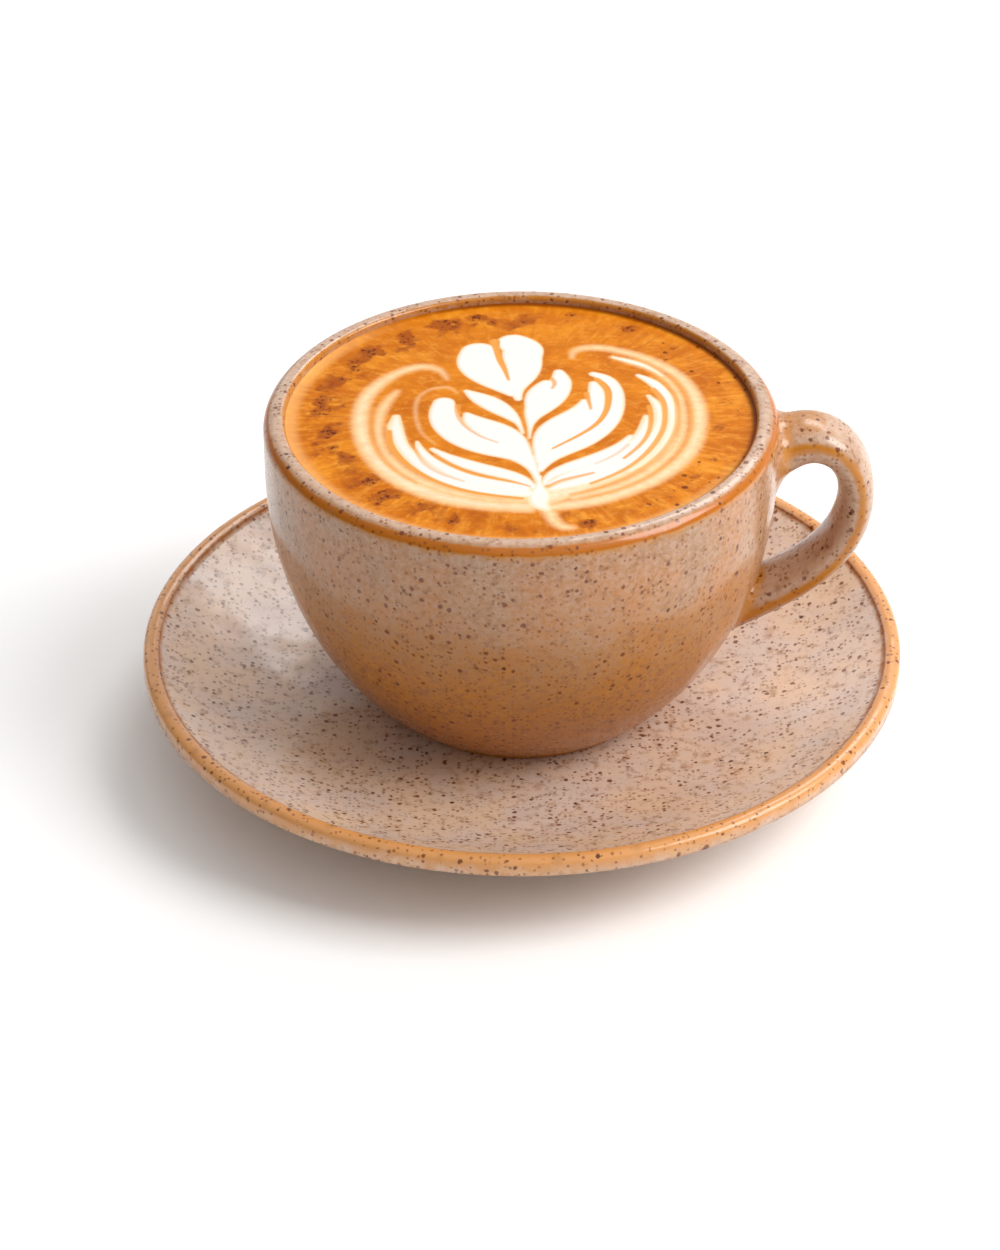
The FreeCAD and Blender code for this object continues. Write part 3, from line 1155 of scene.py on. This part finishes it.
MILK_STROKES = (
    ((-8.2, 25.7, 3.6), (-8.4, 21.5, 4.1), (-6.5, 17, 3.9), (-3.6, 13, 2.9), (-1.5, 9.5, 1.5)),
    ((-1.2, 29.3, 3.4), (0.6, 26.5, 4.0), (0.5, 24.5, 4.0), (0.7, 19.5, 3.5), (0, 15, 2.7),
     (-0.8, 11, 1.6), (-0.5, 7, 0.7)),
    ((7.6, 17.4, 1.0), (7.9, 14.5, 1.9), (7, 10.5, 2.8), (5, 6.5, 3.2), (3.2, 3, 2.5),
     (2.1, -0.5, 1.3), (1.7, -4, 0.5), (1.5, -8, 0.25)),
    ((5, 13, 1.2), (3.5, 9, 2.2), (2, 4, 1.2)),
    ((-10.6, 10.2, 0.5), (-9, 8.4, 1.4), (-6.5, 6, 2.2), (-4, 3.2, 2.1), (-2, 0.5, 1.4),
     (-0.5, -2.5, 0.6), (0.3, -6, 0.3)),
    ((-15, 5.6, 2.1), (-15.1, 2, 2.7), (-14.3, -2, 3.1), (-12, -6, 3.4), (-8.5, -9.3, 3.4),
     (-4.5, -11.5, 3.2), (-1, -13.5, 2.7), (1, -16.5, 1.7), (2.3, -20, 0.9), (3, -24, 0.5)),
    ((-10.5, 1.2, 0.7), (-9.5, -0.8, 1.7), (-7, -3.5, 2.7), (-4, -6.3, 3.2), (-1.5, -9.5, 2.7),
     (0.3, -13, 1.8), (1.5, -17, 1.0)),
    ((14.4, 16.6, 0.8), (16.6, 15, 1.2), (18.3, 11.5, 1.4), (18.8, 7, 1.5), (18.4, 2.5, 1.6),
     (16.9, -2, 1.9), (14.4, -6.2, 2.1), (11, -9.8, 2.2), (7.5, -12.7, 2.0), (4.8, -15.8, 1.6),
     (3.4, -19.5, 0.8)),
    ((14.3, 12.9, 0.8), (14.8, 10, 1.5), (14.8, 6, 1.7), (14, 1.5, 2.3), (11.8, -2.5, 3.0),
     (8.5, -5.5, 3.3), (5.5, -8.5, 2.9), (3.9, -12.5, 1.7), (3.2, -16.5, 0.8)),
    ((12.4, 6, 0.7), (12, 3.5, 1.6), (10.5, 0.5, 2.4), (7.5, -3, 2.8), (4.8, -6.5, 2.2),
     (3.2, -11, 1.1)),
    ((-17, -11.8, 0.5), (-14.5, -14.3, 1), (-11, -17, 1.5), (-7, -19.3, 1.7), (-3, -21.2, 1.6),
     (0, -23.2, 1.3), (2, -25.8, 0.8)),
    ((-20, -9, 0.3), (-19.3, -12, 0.8), (-17.5, -15.5, 1.1), (-14, -19.5, 1.4), (-9.5, -22.8, 1.6),
     (-4.5, -24.8, 1.6), (0, -26.3, 1.6)),
    ((-24.2, 0.5, 0.8), (-24.3, -2.5, 1.3), (-23.8, -6.5, 1.4), (-22.8, -10.5, 1.3),
     (-21, -14.5, 1.4), (-18.3, -18.8, 1.6), (-14.5, -22.5, 1.7), (-9.5, -25.5, 1.6),
     (-4, -27.3, 1.4), (1, -28, 1.2)),
    ((21, -7.5, 0.6), (19, -11, 1.2), (15.5, -14.5, 1.6), (11.5, -17.3, 1.7), (8, -19.5, 1.5),
     (5.3, -22, 1), (4, -25, 0.5)),
    ((24.3, 0, 0.6), (23.8, -4, 1.1), (22.5, -8.5, 1.4), (20, -13, 1.8), (16.5, -17, 2),
     (12.5, -20, 1.8), (8.5, -22.3, 1.5), (5.5, -24.5, 0.9)),
    ((25, 8, 0.4), (26.3, 5, 0.9), (26.7, 0, 1), (26, -5, 1.1), (24.3, -10, 1.3), (21.5, -15, 1.5),
     (17.5, -19.5, 1.6), (13, -22.8, 1.5), (8.5, -25, 1.2), (5.5, -26.5, 0.7)),
    ((23.3, 16, 0.5), (25.5, 13.8, 1), (27.5, 10.5, 1.2), (28.8, 6, 1.1), (29.3, 1, 1.0),
     (28.8, -4, 0.9), (27.3, -9.5, 0.8), (24.5, -15, 0.6), (20.5, -20, 0.4)),
    ((18.5, 23.3, 0.3), (21.5, 21.8, 0.6), (25, 19.5, 0.5), (28, 15.8, 0.2)),
    ((3.2, -22, 0.5), (3.2, -26, 1), (3.2, -29, 2.0), (3.2, -31.5, 1.7), (4.4, -33.3, 0.9)),
)

VEIL_STROKES = (
    ((-24.2, 10.2, 0.5), (-26, 6.5, 0.9), (-27.2, 2, 1), (-27.6, -3, 0.9), (-27.2, -8, 0.8),
     (-26, -13, 0.9), (-23.5, -18, 1), (-20, -22.3, 1.1), (-15.5, -26, 1.2), (-10, -28.8, 1),
     (-4, -30.5, 0.9), (1, -31, 0.8)),
    ((-14.5, 15, 0.2), (-16, 18.5, 0.7), (-19, 20, 1.0), (-23, 18.5, 1.1), (-27, 14.5, 1.3),
     (-29.7, 9.5, 1.5), (-31, 3.5, 1.6), (-31, -3, 1.7), (-30, -9.5, 1.7), (-27.8, -15.5, 1.9),
     (-24.3, -21.3, 2), (-19.3, -26.3, 2), (-13, -30, 1.9), (-6, -32, 1.8), (1, -32.8, 1.8)),
    ((18.5, 23.3, 0.4), (21.5, 21.8, 0.9), (25, 19.5, 0.9), (28, 15.8, 0.8), (30.2, 11, 0.8),
     (31.3, 5, 0.8), (31.5, -1, 0.8), (30.8, -7, 0.9), (28.8, -13, 1), (25.5, -18.5, 1.1),
     (21, -23.3, 1.1), (15.5, -27, 1), (9.5, -29.5, 0.9)),
    ((10.3, 23.2, 0.2), (11, 26.0, 0.7), (14.5, 27.3, 1), (19, 26.3, 1), (24, 23.5, 1.1),
     (28.5, 19.5, 1.2), (31.8, 14.5, 1.3), (33.8, 8.5, 1.4), (34.6, 2, 1.5), (34.2, -4.5, 1.5),
     (32.8, -11, 1.6), (30, -17, 1.6), (26, -22.3, 1.6), (21, -26.5, 1.6), (15, -30, 1.6),
     (9, -32, 1.5), (5, -33, 1.2)),
    ((3.4, -31, 2.2), (4.8, -34, 1.4), (5.5, -36.5, 1.2), (6.4, -38.6, 1.1), (8, -39.8, 0.9),
     (9.2, -40, 0.6)),
    ((-21, -16, 1.5), (-15, -22.5, 2.5), (-8, -26, 3), (0, -28, 3)),
    ((27.5, -4, 3), (26, -9.5, 3.5), (22, -15.5, 3.8), (16.5, -21, 3.5), (10, -25.5, 3), (5, -29, 3)),
    ((28.5, 8, 1.5), (29, 2, 2), (28, -5, 2.4)),
    ((-24.5, -3, 1.5), (-23.5, -10, 1.8), (-20, -17, 2)),
)

FAINTNESS = 0.75
FAINT_STROKES = (
    ((-12.5, 9.5, 0.5), (-14, 11.5, 0.8), (-17, 11.3, 0.8), (-19.7, 8.5, 0.8), (-20.5, 4, 0.8),
     (-20.2, -1, 0.8), (-19, -6, 0.7), (-16.5, -10, 0.5)),
)

LINE_STROKES = (
    (1.0, ((-5, 30, 0.9), (-4.7, 27, 0.55), (-4.1, 23, 0.5), (-3.2, 19, 0.35), (-2.3, 14.5, 0.15))),
    (0.8, ((6.2, 15, 0.25), (6.7, 13, 0.3), (6.2, 11, 0.1))),
    (0.7, ((-12.3, 4.5, 0.5), (-12.3, 1.5, 0.35), (-11.6, -1.5, 0.25), (-9.8, -4.8, 0.2),
           (-7, -7.8, 0.12), (-4.5, -9.5, 0.06))),
    (0.9, ((12.9, 9, 0.4), (13.3, 6, 0.25), (13.6, 3, 0.15))),
    (1.0, ((15, 14.6, 0.4), (16.8, 11.5, 0.5), (17.2, 7, 0.5), (16.6, 2.5, 0.45), (14.8, -2.3, 0.35),
           (12, -6, 0.25), (9, -9, 0.18), (6, -11.8, 0.1))),
    (0.8, ((-16.5, -14, 0.3), (-14, -17, 0.35), (-10.5, -20, 0.35), (-6, -22.3, 0.3),
           (-1.5, -24, 0.2), (1.5, -25.5, 0.1))),
    (0.5, ((-20.2, -12, 0.2), (-19, -16, 0.25), (-15.5, -20.5, 0.25), (-11, -23.5, 0.1))),
    (1.0, ((-25.5, -5, 0.45), (-25, -10, 0.5), (-23.3, -14.5, 0.45), (-20.5, -19, 0.4),
           (-16.5, -23.2, 0.35), (-11.5, -26.5, 0.35), (-6, -28.5, 0.3), (0, -29.8, 0.25))),
    (0.6, ((-28.6, 4, 0.3), (-29, -2, 0.35), (-28.6, -8, 0.3), (-27, -14, 0.3), (-24, -19.5, 0.25),
           (-20, -24, 0.2))),
    (0.45, ((20.5, -10.5, 0.2), (18, -14, 0.2), (14, -17.5, 0.1))),
    (0.8, ((13.5, -20.8, 0.2), (10, -22.3, 0.3), (7, -23.8, 0.3), (5, -25.5, 0.2))),
    (0.9, ((25, 4, 0.35), (25.2, -1, 0.35), (24.5, -6, 0.3), (22.5, -11, 0.25), (19.5, -15.5, 0.2))),
    (0.9, ((26, 10.5, 0.5), (27.5, 7, 0.45), (28, 2, 0.4), (27.5, -4, 0.4), (25.8, -9.5, 0.4),
           (23, -15, 0.35), (19, -20, 0.3), (13, -24.6, 0.25))),
    (0.6, ((28, 13.5, 0.4), (30, 8.5, 0.35), (30.4, 2, 0.35), (30, -4, 0.35), (28.3, -10, 0.35),
           (25.3, -16, 0.35), (21, -21.2, 0.3), (15, -25.8, 0.3), (9, -28.5, 0.2))),
    (0.5, ((29.5, 16, 0.5), (32, 10, 0.35), (33, 3, 0.3), (32.8, -4, 0.3), (31.3, -10.5, 0.3),
           (28, -17, 0.3), (23.5, -22.8, 0.3), (18, -27, 0.3), (11, -30.3, 0.2))),
    (0.35, ((0.3, 5, 0.2), (0.6, -2, 0.3), (1.4, -9, 0.3), (2.2, -14, 0.15))),
)


SCORCHES = (
    (-38, 8, 2.4), (-38, -6, 2.2), (-36, -11, 1.8), (-34.5, -15, 2.0), (-29, -23, 2.0),
    (-26, -29, 2.2), (-21, -32, 1.6), (-13, -37, 1.8), (-33, 20, 2.2), (-29, 26, 2.2),
    (-23, 31, 2.4), (-15, 37, 2.4), (-39, 2, 2.0), (-9, 40.5, 2.0), (41, 13, 1.5), (40, 5, 1.5),
    (38.5, -4, 1.6), (33, -22, 1.4), (27, -29, 1.5), (36, -16, 1.3), (12, -38.5, 1.6),
    (-3, -40, 1.6), (22, 35, 2.0), (31, 27, 1.6), (10, 41, 1.8), (-35.5, 14, 1.8),
)


@dataclass
class Drink:
    """The latte: a body that fills the bowl, its top marked with the poured pattern."""

    level: float
    bottom: float
    cup: Cup
    dome: float = 0.25 * MM
    lift: float = 0.35 * MM
    cells: int = 284

    def build(self, finish: bpy.types.Material) -> bpy.types.Object:
        """Make the drink.

        Args:
            finish: The foam's material.

        Returns:
            The piece.
        """
        edge = self.cup.radius - self.cup.wall + 0.2 * MM
        shape = bmesh.new()
        bmesh.ops.create_grid(shape, x_segments=self.cells, y_segments=self.cells, size=1)
        for vert in shape.verts:
            x, y = vert.co.x, vert.co.y
            spread = max(abs(x), abs(y))
            length = math.hypot(x, y) or 1.0
            radius = edge * spread
            climb = max(radius - edge + 1.6 * MM, 0.0) / (1.6 * MM)
            height = self.level + self.dome * (1 - spread * spread) + self.lift * climb ** 3
            vert.co = (x / length * radius, y / length * radius, height - self.lift)
        self._sides(shape, edge)
        piece = finished(shape, "latte_drink")
        self._pour(piece.data)
        piece.data.materials.append(finish)
        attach(piece, ROOT)
        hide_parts("latte")
        return piece

    def _sides(self, shape: bmesh.types.BMesh, edge: float) -> None:
        """Carry the top's rim down the bowl and close it underneath.

        Args:
            shape: The top, open along its rim.
            edge: The rim's radius.
        """
        side = self.cup.side()
        bowl = self.cup.radius - self.cup.wall
        deep = side.middle - self.bottom
        rings = [(edge, self.level - 1.5 * MM), (bowl - 0.3 * MM, side.middle)]
        for step in range(1, 9):
            angle = QUARTER_TURN * step / 9
            rings.append(((bowl - 0.3 * MM) * math.cos(angle) ** (2 / self.cup.fullness),
                          side.middle - deep * math.sin(angle) ** (2 / self.cup.fullness)))
        rim = [item for item in shape.edges if item.is_boundary]
        for radius, height in rings:
            made = bmesh.ops.extrude_edge_only(shape, edges=rim)["geom"]
            rim = [item for item in made if isinstance(item, bmesh.types.BMEdge)]
            for vert in (item for item in made if isinstance(item, bmesh.types.BMVert)):
                length = math.hypot(vert.co.x, vert.co.y)
                vert.co = (vert.co.x / length * radius, vert.co.y / length * radius, height)
        bmesh.ops.holes_fill(shape, edges=rim, sides=0)

    @staticmethod
    def _pour(mesh: bpy.types.Mesh) -> None:
        """Mark the milk, its veils and the lines between strokes on the mesh.

        Args:
            mesh: The drink's mesh.
        """
        place = positions(mesh)[:, :2] / MM
        milk = np.maximum.reduce([Stroke(points).reach(place) for points in MILK_STROKES])
        veils = [Stroke(points).reach(place) for points in VEIL_STROKES]
        veils += [Stroke(points).reach(place) - FAINTNESS for points in FAINT_STROKES]
        veil = np.maximum.reduce([milk - 0.35, *veils])
        line = np.full(len(place), -9.0)
        tone = np.zeros(len(place))
        for strength, points in LINE_STROKES:
            reach = Stroke(points).reach(place)
            tone[reach > line] = strength
            line = np.maximum(line, reach)
        for kind, values in ((Pour.MILK, milk), (Pour.VEIL, veil), (Pour.LINE, line)):
            set_number(mesh, kind.value, np.maximum(values, -4))
        set_number(mesh, "line_tone", tone)
        scorch = np.zeros(len(place))
        for x, y, size in SCORCHES:
            scorch += np.exp(-(((place[:, 0] - x) / size) ** 2 + ((place[:, 1] - y) / size) ** 2))
        set_number(mesh, "scorch", np.minimum(scorch, 1.5))


# ---------------------------------------------------------------------- studio


@dataclass
class Lamp:
    """One soft rectangular light aimed at a point."""

    name: str
    place: tuple[float, float, float]
    size: tuple[float, float]
    power: float
    aim: tuple[float, float, float] = (0.0, 0.0, 0.05)

    def build(self) -> bpy.types.Object:
        """Add the lamp to the scene.

        Returns:
            The lamp.
        """
        data = bpy.data.lights.new(self.name, "AREA")
        data.shape = "RECTANGLE"
        data.size, data.size_y = self.size
        data.energy = self.power
        lamp = bpy.data.objects.new(self.name, data)
        bpy.context.scene.collection.objects.link(lamp)
        lamp.location = self.place
        lamp.rotation_euler = (Vector(self.aim) - Vector(self.place)).to_track_quat("-Z", "Y").to_euler()
        return lamp


@dataclass
class Studio:
    """A plain pale floor, a white surround, soft lamps and the camera."""

    camera_place: tuple[float, float, float] = (-0.004337, -0.629659, 0.441780)
    tilt: float = 56.302
    roll: float = -0.3787
    lens: float = 108.45
    horizon: float = 0.24
    behind: float = 0.85
    overhead: float = 0.82
    lamps: tuple = (
        Lamp("key_softbox", (0.86, -0.22, 0.86), (0.72, 0.72), 12.3),
        Lamp("back_softbox", (0.36, 0.76, 0.86), (0.60, 0.32), 3.6),
        Lamp("left_softbox", (-0.45, 0.95, 0.42), (0.60, 0.40), 0.7),
    )

    def build(self) -> bpy.types.Object:
        """Make the floor, the lamps and the camera.

        Returns:
            The floor, which isn't part of the object.
        """
        shape = bmesh.new()
        bmesh.ops.create_grid(shape, x_segments=1, y_segments=1, size=3.0)
        floor = finished(shape, "floor")
        floor.data.materials.append(Paper().make())
        self._surround()
        for lamp in self.lamps:
            lamp.build()
        self._camera()
        bpy.context.scene.view_settings.view_transform = "Standard"
        return floor

    def _surround(self) -> None:
        """Light the room softly from overhead and behind, dimmer at the left."""
        world = bpy.data.worlds.new("white_room")
        graph = Graph(world)
        x, y, z = graph.axes(graph.node("ShaderNodeTexCoord", output="Generated"))
        low = y.rise(0.2, 0.95, self.horizon, self.behind)
        strength = z.rise(0.2, 0.75, low, self.overhead) * x.rise(-0.9, 0.5, 0.40, 1.22)
        values = {"Color": (1, 1, 1, 1), "Strength": strength}
        graph.end("ShaderNodeOutputWorld", graph.node("ShaderNodeBackground", None, values))
        bpy.context.scene.world = world

    def _camera(self) -> None:
        """Set the camera at the height and angle of someone seated at the table."""
        data = bpy.data.cameras.new("camera")
        data.lens = self.lens
        data.sensor_width = 36
        data.clip_start, data.clip_end = 0.01, 20
        camera = bpy.data.objects.new("camera", data)
        bpy.context.scene.collection.objects.link(camera)
        turn = Matrix.Rotation(math.radians(self.tilt), 4, "X") @ Matrix.Rotation(
            math.radians(self.roll), 4, "Z")
        camera.matrix_world = Matrix.Translation(self.camera_place) @ turn
        bpy.context.scene.camera = camera


# ------------------------------------------------------------------------ main


def report(piece: bpy.types.Object) -> None:
    """Log a piece's name and size.

    Args:
        piece: The piece.
    """
    mesh = piece.data
    triangles = sum(len(polygon.vertices) - 2 for polygon in mesh.polygons)
    LOG.info("%s: %d points, %d triangles", piece.name, len(mesh.vertices), triangles)


def main() -> None:
    """Build the saucer, the cup, the drink and the studio, in that order."""
    logging.basicConfig(level=logging.INFO, format="%(name)s %(message)s")
    _, saucer_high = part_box("saucer")
    cup_low, cup_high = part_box("cup")
    drink_low, drink_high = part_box("latte")
    saucer = Saucer(radius=saucer_high[0], height=saucer_high[2])
    report(saucer.build(Glaze("saucer_glaze", warm_top=-0.02, warm_bottom=-0.03).make()))
    cup = Cup(bottom=cup_low[2], lip=cup_high[2])
    cup_finish = Glaze("cup_glaze", pale="b17848", cool="a67e5c", warm="b06d14", warm_top=0.066,
                       warm_bottom=0.028, thin="bb7718", edge="b56408", raw_below=cup_low[2] + 0.0003)
    report(cup.build(cup_finish.make()))
    drink = Drink(level=drink_high[2], bottom=drink_low[2], cup=cup)
    report(drink.build(Foam("latte_foam").make()))
    Studio().build()


if __name__ == "__main__":
    main()
